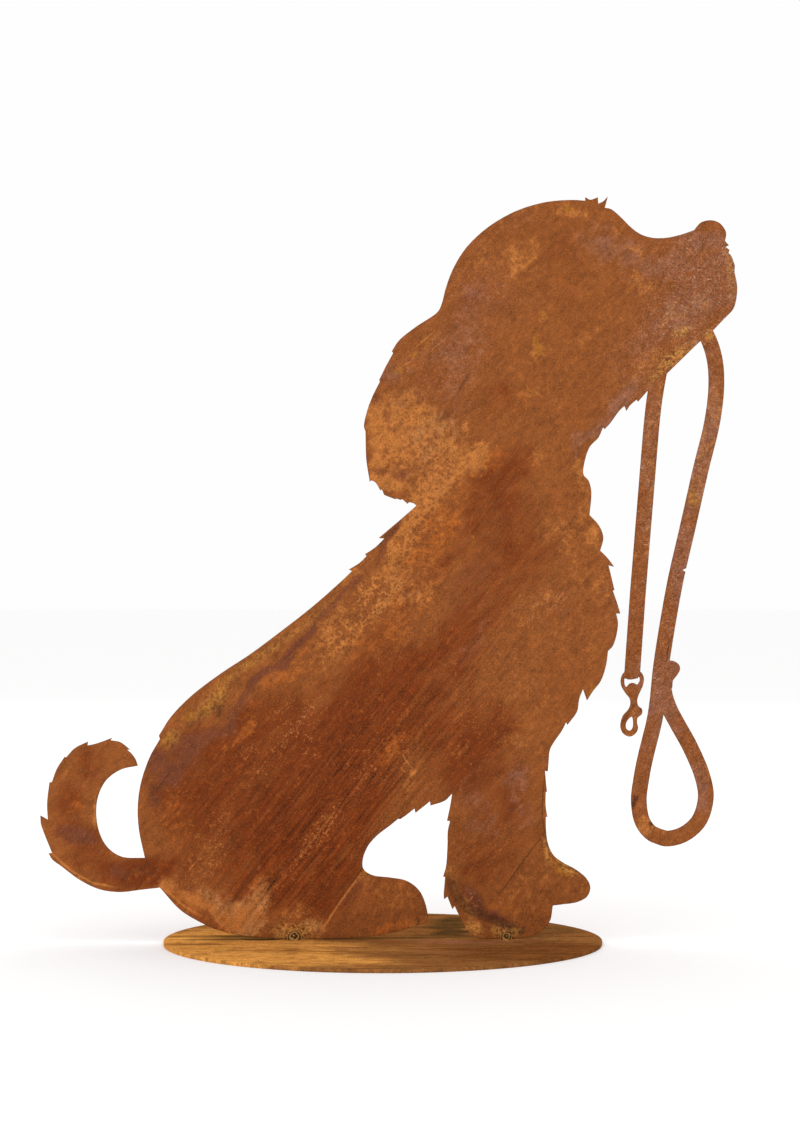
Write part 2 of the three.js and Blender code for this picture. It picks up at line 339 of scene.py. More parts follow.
# Pale tan dust
TAN_PATCHES = [
    (420, 385, 34, 18, 52, 0.1),
    (430, 440, 50, 28, 52, 0.55),
    (440, 482, 36, 18, 52, 0.5),
    (405, 412, 44, 28, 52, 0.3),
    (430, 520, 36, 22, 52, 0.3),
    (392, 590, 44, 22, 50, 0.45),
    (352, 620, 60, 26, 46, 0.25),
    (246, 906, 40, 20, 40, 0.6),
    (215, 900, 30, 12, 150, 0.5),
    (256, 902, 34, 16, 55, 0.5),
    (226, 885, 28, 12, 50, 0.2),
    (232, 917, 44, 9, 165, 0.7),
    (310, 926, 14, 6, 20, 0.6),
    (547, 603, 18, 4, 45, 0.2),
    (662, 316, 24, 10, 50, 0.5),
    (700, 300, 20, 10, 20, 0.4),
    (733, 280, 6, 34, 0, 0.4),
    (652, 470, 12, 150, 0, 0.4),
    (702, 430, 30, 110, 0, 0.35),
]

# Dark brown stains
DARK_PATCHES = [
    (378, 402, 10, 11, 50, 0.35),
    (388, 467, 14, 5, 20, 0.5),
    (412, 498, 9, 4, 150, 0.35),
    (388, 540, 20, 5, 45, 0.45),
    (372, 560, 16, 4, 45, 0.5),
    (142, 868, 26, 10, 170, 0.45),
    (233, 850, 18, 9, 50, 0.4),
    (262, 656, 60, 9, 40, 0.35),
    (210, 704, 36, 10, 46, 0.5),
    (320, 612, 40, 8, 40, 0.25),
    (212, 858, 13, 6, 60, 0.3),
    (450, 884, 5, 18, 0, 0.4),
    (456, 900, 6, 14, 160, 0.45),
    (480, 915, 30, 8, 155, 0.5),
    (506, 925, 22, 8, 165, 0.4),
    (522, 930, 12, 9, 0, 0.6),
    (422, 920, 8, 6, 10, 0.5),
    (326, 932, 10, 4, 20, 0.35),
    (640, 806, 7, 12, 0, 0.8),
    (667, 836, 16, 5, 0, 0.8),
    (627, 727, 9, 10, 0, 0.3),
    (632, 686, 8, 12, 0, 0.5),
    (583, 872, 14, 4, 148, 0.5),
    (380, 877, 30, 3, 175, 0.4),
    (158, 784, 26, 4, 48, 0.5),
    (300, 790, 80, 4, 52, 0.25),
    (255, 850, 60, 4, 52, 0.3),
    (330, 835, 56, 4, 52, 0.25),
    (275, 790, 48, 3, 52, 0.2),
    (350, 770, 60, 3, 52, 0.25),
    (365, 820, 40, 4, 52, 0.25),
    (400, 800, 40, 3, 52, 0.25),
    (430, 790, 34, 3, 52, 0.25),
    (440, 700, 70, 6, 52, 0.2),
    (230, 790, 40, 5, 50, 0.25),
    (500, 690, 70, 5, 52, 0.15),
    (545, 520, 40, 6, 52, 0.15),
    (240, 898, 30, 5, 52, 0.4),
]

# Bright orange, where the rust is youngest
BRIGHT_PATCHES = [
    (492, 452, 26, 16, 40, 0.45),
    (462, 500, 50, 22, 52, 0.4),
    (430, 540, 46, 22, 52, 0.45),
    (416, 590, 54, 24, 52, 0.4),
    (470, 560, 50, 26, 52, 0.3),
    (370, 640, 60, 26, 48, 0.4),
    (520, 400, 40, 16, 50, 0.3),
    (286, 670, 60, 14, 44, 0.5),
    (240, 730, 54, 12, 44, 0.45),
    (168, 810, 22, 50, 5, 0.35),
    (400, 745, 40, 22, 45, 0.4),
    (384, 898, 34, 22, 0, 0.3),
    (398, 925, 40, 7, 8, 0.6),
    (522, 905, 40, 22, 20, 0.3),
    (175, 905, 24, 8, 140, 0.4),
    (235, 928, 34, 7, 165, 0.7),
    (75, 800, 20, 30, 0, 0.3),
    (600, 560, 22, 60, 0, 0.25),
    (690, 360, 20, 12, 40, 0.4),
    (560, 700, 40, 20, 50, 0.25),
    (610, 470, 30, 30, 0, 0.2),
]

# Where the rust has crusted up: round the welds, at the heel and at the mouth
CRUST_PATCHES = [
    (291, 933, 26, 11, 0, 1.0),
    (309, 926, 15, 7, 30, 0.8),
    (508, 931, 19, 9, 0, 1.0),
    (474, 928, 14, 8, 140, 0.8),
    (466, 908, 16, 6, 140, 0.6),
    (452, 886, 4, 14, 0, 0.5),
    (674, 360, 26, 6, 40, 1.0),
    (682, 331, 12, 6, 30, 0.9),
    (712, 334, 10, 7, 0, 0.8),
    (655, 376, 14, 5, 40, 0.4),
    (548, 835, 4, 40, 0, 0.8),
    (565, 866, 16, 4, 148, 0.9),
    (730, 270, 7, 40, 0, 0.4),
    (695, 497, 8, 12, 20, 0.5),
    (418, 924, 12, 4, 10, 0.4),
    (447, 870, 10, 5, 60, 0.4),
    (212, 698, 36, 10, 46, 0.45),
    (262, 652, 46, 7, 38, 0.4),
    (308, 620, 38, 6, 38, 0.3),
    (174, 738, 14, 9, 50, 0.5),
]

# Where brown spots cover the bloom, and where pale specks lie in rows
SPOT_PATCHES = [
    (405, 440, 60, 50, 52, 0.65),
    (440, 480, 60, 36, 52, 0.7),
    (420, 540, 60, 30, 52, 0.85),
    (370, 606, 84, 38, 48, 1.0),
    (330, 645, 62, 26, 45, 0.9),
    (425, 606, 60, 32, 52, 1.0),
    (390, 650, 60, 24, 52, 0.6),
    (480, 420, 40, 24, 52, 0.4),
    (210, 862, 34, 24, 50, 0.45),
    (400, 765, 34, 20, 40, 0.5),
    (450, 350, 30, 30, 50, 0.3),
]
SPARK_PATCHES = [
    (296, 722, 44, 16, 48, 0.9),
    (300, 738, 30, 14, 48, 0.9),
    (258, 774, 22, 14, 48, 1.0),
    (240, 754, 16, 9, 48, 0.7),
    (222, 814, 26, 14, 48, 1.0),
    (312, 708, 30, 12, 48, 0.7),
    (345, 790, 40, 12, 52, 0.4),
    (365, 760, 24, 12, 52, 0.5),
    (405, 760, 34, 14, 40, 0.6),
    (490, 850, 46, 34, 52, 0.4),
    (500, 700, 90, 50, 52, 0.3),
    (548, 606, 30, 14, 52, 0.8),
    (210, 860, 46, 24, 52, 0.6),
    (315, 846, 60, 12, 52, 0.8),
    (470, 908, 14, 7, 140, 1.0),
]
STREAK_PATCHES = [
    (330, 820, 170, 80, 52, 1.0),
    (430, 700, 140, 80, 52, 0.45),
    (560, 600, 100, 60, 52, 0.15),
    (480, 840, 50, 50, 52, 0.2),
    (230, 780, 90, 50, 48, 0.5),
]
GRAIN_PATCHES = [
    (714, 285, 86, 80, 0, 0.9),
    (650, 335, 80, 30, 45, 0.45),
    (680, 560, 80, 300, 0, 0.8),
    (480, 290, 60, 50, 0, 0.25),
    (440, 365, 60, 40, 0, 0.35),
]
PATCHES = {
    "deep": DEEP_PATCHES,
    "ochre": OCHRE_PATCHES,
    "gold": GOLD_PATCHES,
    "plum": PLUM_PATCHES,
    "mauve": MAUVE_PATCHES,
    "tan": TAN_PATCHES,
    "dark": DARK_PATCHES,
    "bright": BRIGHT_PATCHES,
    "crust": CRUST_PATCHES,
    "spots": SPOT_PATCHES,
    "sparks": SPARK_PATCHES,
    "streaks": STREAK_PATCHES,
    "grain": GRAIN_PATCHES,
}

# Thin marks, each as (points along it, tone, half width): a tone above 0 is pale, and below 0 dark
MARKS = [
    ([(364, 869), (349, 889), (333, 912), (318, 936)], 1.0, 1.7),
    ([(545, 832), (531, 850), (514, 873), (497, 898)], -0.7, 0.8),
    ([(403, 754), (406, 760), (411, 766)], 1.0, 0.7),
    ([(416, 347), (424, 340), (435, 330)], 0.9, 1.0),
    ([(430, 352), (436, 346), (443, 340)], 0.7, 0.8),
    ([(393, 372), (402, 366), (410, 361)], 0.7, 0.8),
    (
        [(546, 772), (543, 790), (542, 815), (545, 832), (549, 853), (558, 863), (581, 872)],
        -0.6, 0.9,
    ),
    (
        [(449, 874), (452, 886), (457, 897), (468, 908), (482, 915), (500, 922), (519, 929)],
        -0.6, 7.0,
    ),
    ([(660, 368), (670, 361), (684, 352)], 0.8, 0.9),
    ([(706, 766), (709, 774), (708, 782)], 0.8, 0.7),
    ([(669, 644), (667, 652), (667, 658)], -1.0, 0.8),
    ([(338, 806), (322, 828), (298, 858)], 0.35, 1.2),
    ([(148, 800), (160, 785), (173, 768)], -0.5, 1.3),
    ([(118, 885), (126, 874), (135, 862)], -0.45, 0.9),
    ([(470, 372), (458, 392), (440, 420)], -0.35, 2.2),
    ([(520, 470), (496, 500), (470, 536)], -0.3, 1.8),
    ([(268, 850), (244, 882), (228, 908)], -0.45, 2.4),
    ([(305, 838), (282, 868), (262, 900)], -0.35, 2.0),
    ([(52, 853), (70, 869), (92, 882), (112, 886)], 0.8, 1.7),
    ([(163, 887), (181, 903), (200, 915)], 0.8, 1.8),
    ([(635, 704), (628, 712), (623, 722)], -0.55, 2.2),
    ([(624, 733), (630, 736), (637, 732)], 0.6, 1.2),
]

# The base's patches lie along X and Y in millimetres, seen from above
BASE_PATCHES = {
    "golden": [
        (-150, -15, 80, 90, 0, 1.0),
        (-95, -95, 100, 70, 0, 1.0),
        (-60, -120, 80, 50, 0, 0.7),
        (-70, -30, 60, 30, 0, 0.8),
        (0, -60, 60, 20, 0, 0.3),
        (-120, 70, 60, 50, 0, 0.4),
        (60, 150, 70, 30, 0, 0.3),
        (90, 60, 60, 30, 0, 0.3),
    ],
    "red": [
        (84, -70, 50, 34, 0, 0.9),
        (140, -70, 50, 60, 0, 0.9),
        (110, -110, 60, 30, 0, 0.8),
        (60, -128, 40, 12, 0, 0.4),
        (-64, -66, 14, 10, 0, 0.6),
        (130, -35, 40, 14, 0, 0.5),
        (-40, 80, 70, 40, 0, 0.7),
        (20, 150, 60, 30, 0, 0.5),
        (120, 90, 40, 40, 0, 0.5),
    ],
    "mauve": [
        (40, -22, 70, 18, 0, 0.7),
        (140, 10, 40, 30, 0, 0.4),
        (55, -75, 60, 26, 0, 0.4),
        (-30, -50, 40, 8, 0, 0.4),
        (110, -10, 40, 14, 0, 0.5),
        (-70, 120, 60, 30, 0, 0.4),
    ],
    # Partly painted shadow under and behind the dog along the sheet's foot, partly dark stains on
    # the base
    "shadow_and_stain": [
        (47, 100, 32, 84, 0, 0.75),
        (46, 30, 24, 44, 0, 0.65),
        (-100, 18, 90, 16, 0, 0.8),
        (-115, -4, 50, 8, 0, 0.9),
        (-138, -32, 34, 4, 0, 0.9),
        (-50, 3, 60, 6, 0, 0.7),
        (10, 4, 40, 8, 0, 0.6),
        (96, 16, 46, 18, 0, 0.5),
        (140, 60, 50, 60, 0, 0.5),
        (-150, 90, 40, 30, 0, 0.3),
        (84, -42, 40, 8, 0, 0.5),
    ],
}


def tint(name, description, default):
    """A colour that a user can change."""
    return bpy.props.FloatVectorProperty(
        name=name, description=description, subtype="COLOR", size=3, min=0, max=1, default=default,
    )


class PatinaSettings(bpy.types.PropertyGroup):
    """Colours of the weathered steel"""

    rust: tint("Rust", "Main colour of the sheet", (0.288, 0.085, 0.019))
    deep_rust: tint("Deep rust", "Red-brown where the sheet stayed wet", (0.19, 0.038, 0.006))
    ochre: tint("Ochre", "Golden-brown bloom", (0.5, 0.17, 0.038))
    gold: tint("Gold", "Yellow, fresh rust", (0.37, 0.133, 0.014))
    base_rust: tint("Base rust", "Brown of the round base", (0.27, 0.107, 0.03))
    base_gold: tint("Base gold", "Golden bloom on the base", (0.72, 0.318, 0.07))
    bright: tint("Bright rust", "Orange of the youngest rust", (0.42, 0.112, 0.018))
    weld_ridge: tint("Weld ridge", "Pale ridges of the welds", (0.45, 0.22, 0.065))
    weld_groove: tint("Weld groove", "Dark grooves of the welds", (0.05, 0.026, 0.007))
    plum: tint("Plum", "Purple-brown bands", (0.185, 0.053, 0.022))
    mauve: tint("Mauve", "Pinkish brown of the muzzle and the lead", (0.295, 0.112, 0.057))
    spot: tint("Spot", "Small brown spots on the bloom", (0.25, 0.073, 0.017))
    pink_dust: tint("Pink dust", "Pale scales of the muzzle and the lead", (0.52, 0.31, 0.2))
    crumb: tint("Crumb", "Golden crumbs of the crust", (0.6, 0.28, 0.065))
    # Painted shadow and dark stain under and behind the dog
    base_shadow_and_stain: tint("Base stain", "Dark stain under and behind the dog", (0.1, 0.05, 0.015))
    base_brown: tint("Base brown", "Redder brown of the base", (0.19, 0.066, 0.017))
    tan: tint("Tan", "Pale dust", (0.5, 0.212, 0.07))
    # Dark is also the painted shade along the cut edges and the base's rim
    dark: tint("Dark", "Dark brown stains, spots and edges", (0.09, 0.027, 0.01))
    speck: tint("Speck", "Pale specks and scratches", (0.52, 0.2, 0.062))
    roughness: bpy.props.FloatProperty(
        name="Roughness", description="Roughness of the dry rust", subtype="FACTOR",
        min=0, max=1, default=0.88,
    )


class SheetSettings(bpy.types.PropertyGroup):
    """Sizes of the cut sheet"""

    edge_rounding: bpy.props.FloatProperty(
        name="Edge rounding", description="Width of the worn edge round the cut", unit="LENGTH",
        min=0, max=0.0008, default=0.00018, precision=5,
    )
    mesh_pitch: bpy.props.FloatProperty(
        name="Mesh pitch", description="Spacing of the mesh that carries the patina", unit="LENGTH",
        min=0.001, max=0.02, default=0.0026, precision=4,
    )
    buckle: bpy.props.FloatProperty(
        name="Buckle", description="How far the sheet waves out of flat", unit="LENGTH",
        min=0, max=0.002, default=0.00025, precision=5,
    )


class BaseSettings(bpy.types.PropertyGroup):
    """Sizes of the round base"""

    segments: bpy.props.IntProperty(
        name="Segments", description="Steps round the base's rim", min=24, max=720, default=288,
    )
    edge_rounding: bpy.props.FloatProperty(
        name="Edge rounding", description="Rounding of the base's rim", unit="LENGTH",
        min=0, max=0.0014, default=0.0005, precision=5,
    )
    mesh_pitch: bpy.props.FloatProperty(
        name="Mesh pitch", description="Spacing of the mesh that carries the patina", unit="LENGTH",
        min=0.002, max=0.05, default=0.006, precision=4,
    )


class WeldSettings(bpy.types.PropertyGroup):
    """Shape of the two tack welds"""

    rings: bpy.props.FloatProperty(
        name="Rings", description="Ripples from a weld's middle to its foot",
        min=0, max=8, default=2.6,
    )
    ring_depth: bpy.props.FloatProperty(
        name="Ring depth", description="Height of a weld's ripples", unit="LENGTH",
        min=0, max=0.002, default=0.00055, precision=5,
    )
    bed: bpy.props.FloatProperty(
        name="Bed", description="How far a weld is fused into the sheet and the base",
        unit="LENGTH", min=0, max=0.001, default=0.0004, precision=5,
    )


class StageSettings(bpy.types.PropertyGroup):
    """Floor, light and camera"""

    floor_colour: tint("Floor", "Colour of the studio floor", (0.975, 0.975, 0.973))
    floor_radius: bpy.props.FloatProperty(
        name="Floor radius", description="Radius of the flat floor", unit="LENGTH",
        min=1, max=40, default=20,
    )
    camera_distance: bpy.props.FloatProperty(
        name="Camera distance", description="From the sheet to the camera", unit="LENGTH",
        min=0.5, max=10, default=2.306,
    )
    camera_side: bpy.props.FloatProperty(
        name="Camera to the side", description="Camera's place along X", unit="LENGTH",
        min=-2, max=2, default=0.0137,
    )
    camera_height: bpy.props.FloatProperty(
        name="Camera height", description="Camera's height above the floor", unit="LENGTH",
        min=0, max=3, default=0.2986,
    )
    focal_length: bpy.props.FloatProperty(
        name="Focal length", description="In millimetres, on a 36 mm long side", min=10, max=300,
        default=90.27,
    )
    key_power: bpy.props.FloatProperty(
        name="Key light", description="Power of the large front light", unit="POWER",
        min=0, max=2000, default=8,
    )
    fill_power: bpy.props.FloatProperty(
        name="Fill light", description="Power of the light behind", unit="POWER",
        min=0, max=2000, default=8,
    )
    top_power: bpy.props.FloatProperty(
        name="Top light", description="Power of the light overhead", unit="POWER",
        min=0, max=2000, default=8,
    )
    sky: bpy.props.FloatProperty(
        name="Sky", description="Strength of the even light all round", min=0, max=5, default=0.99,
    )


class Finish:
    """A material, with short ways to add nodes and join them."""

    def __init__(self, name):
        self.material = bpy.data.materials.new(name)
        self.material.use_nodes = True
        self.tree = self.material.node_tree

    def fill(self, node, inputs):
        """Sets a node's inputs, or joins other nodes to them, by socket name or number."""
        for socket, value in inputs.items():
            if isinstance(value, bpy.types.NodeSocket):
                self.tree.links.new(value, node.inputs[socket])
            else:
                node.inputs[socket].default_value = value

    def add(self, kind, inputs, **settings):
        """A new node with its inputs and its other settings."""
        made = self.tree.nodes.new(kind)
        for name, value in settings.items():
            setattr(made, name, value)
        self.fill(made, inputs)
        return made

    def finished(self, inputs):
        """The material, once its shader's inputs are set or joined."""
        self.fill(self.tree.nodes["Principled BSDF"], inputs)
        return self.material

    def place(self):
        """The point on the object, in metres."""
        return self.add("ShaderNodeTexCoord", {}).outputs["Object"]

    def two_sided(self):
        """The point on the sheet, with the back's pattern taken from far behind the front's."""
        place = self.place()
        split = self.add("ShaderNodeSeparateXYZ", {"Vector": place}).outputs
        behind = self.math("GREATER_THAN", split["Y"], 0.0)
        moved = {"X": split["X"], "Y": self.product(behind, BACK_PATTERN), "Z": split["Z"]}
        return self.add("ShaderNodeCombineXYZ", moved).outputs["Vector"]

    def turned(self, vector, location=(0, 0, 0), rotation=(0, 0, 0), scale=(1, 1, 1)):
        """A vector moved, turned and stretched."""
        return self.add(
            "ShaderNodeMapping",
            {"Vector": vector, "Location": location, "Rotation": rotation, "Scale": scale},
        ).outputs["Vector"]

    def drawn_out(self, place, along, across, tilt=BRUSHED_TILT):
        """A place with its own scale along and across a tilt from level, in degrees."""
        level = self.turned(place, rotation=(0, math.radians(tilt), 0))
        return self.turned(level, scale=(along, 1, across))

    def wavering(self, vector, scale, amount):
        """A vector moved about by noise, laid flat for a pattern in two dimensions."""
        wave = self.add("ShaderNodeTexNoise", {"Vector": vector, "Scale": scale, "Detail": 2.0})
        moved = self.add(
            "ShaderNodeVectorMath",
            {0: wave.outputs["Color"], 1: (amount, amount, amount), 2: vector},
            operation="MULTIPLY_ADD",
        ).outputs["Vector"]
        return self.turned(moved, rotation=(math.radians(90), 0, 0))

    def painted(self, name):
        """How strong a painted patch is at each point."""
        return self.add("ShaderNodeAttribute", {}, attribute_name=name).outputs["Fac"]

    def cloud(self, vector, scale, detail=4.0, roughness=0.55, distortion=0.0):
        """Soft noise from 0 to 1."""
        return self.add(
            "ShaderNodeTexNoise",
            {"Vector": vector, "Scale": scale, "Detail": detail, "Roughness": roughness,
             "Distortion": distortion},
        ).outputs["Fac"]

    def streaks(self, place, along, across, tilt=BRUSHED_TILT):
        """Noise drawn out into streaks at a tilt."""
        return self.cloud(self.drawn_out(place, along, across, tilt), 1.0, 5.0, 0.6, 0.4)

    def math(self, operation, first, second=0.0, clamp=False):
        """One step of arithmetic."""
        return self.add(
            "ShaderNodeMath", {0: first, 1: second}, operation=operation, use_clamp=clamp,
        ).outputs[0]

    def sum(self, *values):
        """The sum of values."""
        return reduce(lambda total, value: self.math("ADD", total, value), values)

    def product(self, *values):
        """The product of values."""
        return reduce(lambda total, value: self.math("MULTIPLY", total, value), values)

    def around(self, value, amount):
        """Noise as a change up and down from nothing."""
        return self.product(self.math("SUBTRACT", value, 0.5), amount)

    def ramp(self, value, low, high, start=0.0, end=1.0):
        """A smooth step from one value to another, between two limits."""
        return self.add(
            "ShaderNodeMapRange",
            {"Value": value, "From Min": low, "From Max": high, "To Min": start, "To Max": end},
            interpolation_type="SMOOTHSTEP",
        ).outputs["Result"]

    def laid(self, base, share, tint):
        """A settings colour laid over the base where a share says."""
        return self.add(
            "ShaderNodeMix", {"Factor": share, 6: base, 7: colour(tint)}, data_type="RGBA",
        ).outputs[2]

    def shaded(self, base, value):
        """A colour made brighter or darker by a value round 1."""
        return self.add("ShaderNodeHueSaturation", {"Color": base, "Value": value}).outputs["Color"]

    def near_edge(self, radius):
        """1 on the cut edges and close to them, and 0 elsewhere."""
        rounded = self.add("ShaderNodeBevel", {"Radius": radius}, samples=6).outputs["Normal"]
        true = self.add("ShaderNodeNewGeometry", {}).outputs["True Normal"]
        facing = self.add("ShaderNodeVectorMath", {0: rounded, 1: true}, operation="DOT_PRODUCT")
        return self.ramp(facing.outputs["Value"], 0.995, 0.8)

    def near_welds(self, place, reach):
        """1 at the two welds, and 0 further from them than a reach."""
        shares = []
        for node in WELDS:
            gap = self.add(
                "ShaderNodeVectorMath", {0: place, 1: weld_corner(*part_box(node))},
                operation="DISTANCE",
            )
            shares.append(self.ramp(gap.outputs["Value"], reach, reach * 0.4))
        return self.math("ADD", *shares, clamp=True)

    def cracks(self, vector, scale):
        """Distance from the nearest line of a fine, wavering net."""
        moved = self.wavering(vector, scale * 0.9, 0.009)
        return self.add(
            "ShaderNodeTexVoronoi", {"Vector": moved, "Scale": scale},
            feature="DISTANCE_TO_EDGE", voronoi_dimensions="2D",
        ).outputs["Distance"]

    def spots(self, vector, scale, density):
        """Small roundish spots. The denser they are, the larger and the more of them."""
        moved = self.wavering(vector, scale * 1.3, 0.7 / scale)
        cells = self.add(
            "ShaderNodeTexVoronoi", {"Vector": moved, "Scale": scale}, voronoi_dimensions="2D",
        ).outputs
        chance = self.add("ShaderNodeSeparateColor", {"Color": cells["Color"]}).outputs["Red"]
        radius = self.product(self.math("SUBTRACT", density, chance), 0.55)
        inside = self.math("SUBTRACT", radius, cells["Distance"])
        return self.math("MULTIPLY", inside, 9.0, clamp=True)

    def relief(self, height, distance):
        """The surface's direction over bumps of a real height, in metres."""
        bumps = {"Height": height, "Distance": distance, "Strength": 1.0}
        return self.add("ShaderNodeBump", bumps).outputs["Normal"]


def colour(values):
    """A settings colour with full opacity."""
    return (*values, 1.0)


def weld_corner(low, high):
    """The middle of a weld's foot, in the corner of the sheet's front and the base."""
    return Vector(((low.x + high.x) / 2, high.y, low.z))


def sheet_patina(paint):
    """The dog's rust: painted patches broken up by clouds, spots, streaks, cracks and specks."""
    finish = Finish("sheet_rust_patina")
    place = finish.two_sided()
    brushed = finish.drawn_out(place, 1, 1.9)
    cloudy = finish.cloud(place, 48, 6, 0.7, 0.5)
    mottle = finish.cloud(place, 185, 4, 0.72, 0.3)
    grain = finish.cloud(place, 760, 2, 0.9)
    fibres = finish.streaks(place, 60, 260, 47)
    fine_streaks = finish.streaks(place, 14, 330)
    wide_streaks = finish.streaks(place, 9, 95)
    striped = finish.painted("streaks")
    spotted = finish.painted("spots")
    grainy = finish.painted("grain")
    crusted = finish.painted("crust")

    def cover(name, away, scale, spread, everywhere, soft):
        """A painted patch with clouds of its own, which also show faintly everywhere else."""
        patch = finish.painted(name)
        moved = finish.turned(brushed, location=(away, 0, -away))
        own = finish.cloud(moved, scale, 7, 0.74, 0.6)
        lifted = finish.sum(patch, finish.around(own, spread), finish.around(mottle, 1.3))
        share = finish.math("ADD", finish.product(patch, 1.5), everywhere, clamp=True)
        return finish.product(finish.ramp(lifted, 0.5 - soft, 0.5 + soft), share)

    # The sheet's main colours, with stripes along the brushed streaks
    deep = cover("deep", 1.1, 17, 2.2, 0.5, 0.42)
    base = finish.laid(colour(paint.rust), deep, paint.deep_rust)
    broken = finish.ramp(cloudy, 0.4, 0.58)
    dark_stripes = finish.product(finish.ramp(wide_streaks, 0.5, 0.6), broken, striped, 0.7)
    base = finish.laid(base, dark_stripes, paint.deep_rust)
    pale_stripes = finish.product(striped, finish.ramp(wide_streaks, 0.45, 0.34), 0.5)
    base = finish.laid(base, pale_stripes, paint.rust)

    # The other patches: how far off each one's own clouds lie, their scale and spread, how much of
    # them shows everywhere, and how soft their borders are
    for name, *clouds in (
        ("bright", 6.1, 24, 2.0, 0.3, 0.35),
        ("mauve", 8.3, 34, 2.2, 0.25, 0.35),
        ("tan", 3.9, 42, 2.2, 0.1, 0.35),
        ("ochre", 5.2, 28, 2.4, 0.3, 0.35),
        ("plum", 2.3, 36, 1.6, 0.2, 0.35),
        ("gold", 7.7, 70, 2.4, 0.06, 0.25),
        ("dark", 9.1, 80, 2.4, 0.12, 0.3),
    ):
        base = finish.laid(base, cover(name, *clouds), getattr(paint, name))

    # Brown spots on the bloom, denser here and sparser there, and dark pits
    density = finish.sum(finish.ramp(cloudy, 0.35, 0.62, -0.2, 0.6), finish.product(spotted, 0.75))
    spots = finish.math("MAXIMUM", *(finish.spots(place, scale, density) for scale in (190, 320)))
    blotches = finish.cloud(finish.turned(place, location=(2.1, 0, 0.3)), 120, 3, 0.6, 1.4)
    blotches = finish.ramp(finish.sum(blotches, finish.around(cloudy, 0.9)), 0.58, 0.7)
    spots = finish.math("MAXIMUM", finish.product(spots, 0.9), finish.product(blotches, 0.55))
    base = finish.laid(base, finish.product(spotted, spots), paint.spot)
    pits = finish.product(finish.ramp(grain, 0.6, 0.72), finish.ramp(cloudy, 0.4, 0.6), 0.5)
    base = finish.laid(base, pits, paint.dark)

    # Pale specks in loose rows
    rows = finish.ramp(finish.sum(wide_streaks, finish.around(mottle, 0.9)), 0.44, 0.56)
    specks = finish.cloud(finish.turned(brushed, location=(1.3, 0, 0.7)), 380, 2, 0.75)
    specks = finish.ramp(specks, 0.52, 0.6)
    sparks = finish.product(specks, rows, finish.painted("sparks"), 0.8)
    base = finish.laid(base, sparks, paint.speck)
    loose = finish.product(specks, finish.ramp(mottle, 0.5, 0.64), 0.35)
    base = finish.laid(base, loose, paint.ochre)

    # Scales and a net of cracks on the muzzle and the lead
    scales = finish.cloud(finish.turned(place, location=(0.9, 0, 5.3)), 380, 4, 0.8, 1.2)
    cloudy_share = finish.ramp(cloudy, 0.36, 0.6, 0.35, 1.0)
    dusty = finish.product(finish.ramp(scales, 0.53, 0.64), cloudy_share, grainy, 0.8)
    base = finish.laid(base, dusty, paint.pink_dust)
    shady = finish.product(finish.ramp(scales, 0.47, 0.37), grainy, 0.5)
    base = finish.laid(base, shady, paint.plum)
    net = finish.ramp(finish.cracks(place, 230.0), 0.16, 0.02)
    net = finish.product(net, finish.ramp(cloudy, 0.35, 0.6), grainy, 0.6)
    base = finish.laid(base, net, paint.plum)

    # Crust, dark with golden crumbs
    crumbs = finish.cloud(finish.turned(place, location=(0.4, 0, 3.1)), 340, 4, 0.75, 0.7)
    crust = finish.product(crusted, finish.ramp(crumbs, 0.52, 0.4), 0.55)
    base = finish.laid(base, crust, paint.dark)
    golden = finish.product(crusted, finish.ramp(crumbs, 0.43, 0.56), 0.9)
    base = finish.laid(base, golden, paint.crumb)

    # Thin marks, and a dark line of painted shade round the cut edge
    offset = finish.math("ABSOLUTE", finish.painted("mark_offset"))
    width = finish.ramp(mottle, 0.3, 0.7, 0.7, 1.3)
    line = finish.math("SUBTRACT", 1.0, finish.ramp(offset, 0.35, width))
    base = finish.laid(base, finish.product(line, finish.painted("mark_pale")), paint.ochre)
    base = finish.laid(base, finish.product(line, finish.painted("mark_dark")), paint.dark)
    edge = finish.product(finish.near_edge(0.0011), finish.ramp(cloudy, 0.3, 0.6, 0.65, 0.95))
    base = finish.laid(base, edge, paint.dark)

    # Fine grain, coarser where the rust is streaked, spotted or scaly
    coarse = finish.sum(
        finish.product(striped, 1.4),
        finish.product(spotted, 0.3),
        finish.product(grainy, 1.4),
        1.8,
    )
    tone = finish.sum(
        finish.around(cloudy, 0.9),
        finish.around(mottle, 1.0),
        finish.product(finish.around(grain, 1.0), coarse),
        finish.around(fibres, 0.8),
        finish.product(finish.around(fine_streaks, 2.3), striped),
        1.0,
    )
    height = finish.sum(
        finish.product(grain, 0.5),
        finish.product(mottle, 0.6),
        finish.product(fine_streaks, 0.25),
        finish.product(scales, grainy, 1.2),
        finish.product(crumbs, crusted, 1.5),
    )
    smoothest = paint.roughness - 0.1
    roughest = min(paint.roughness + 0.08, 1.0)
    return finish.finished({
        "Base Color": finish.shaded(base, tone),
        "Roughness": finish.ramp(mottle, 0.3, 0.7, smoothest, roughest),
        "Specular IOR Level": 0.15,
        "Normal": finish.relief(height, 0.00025),
    })


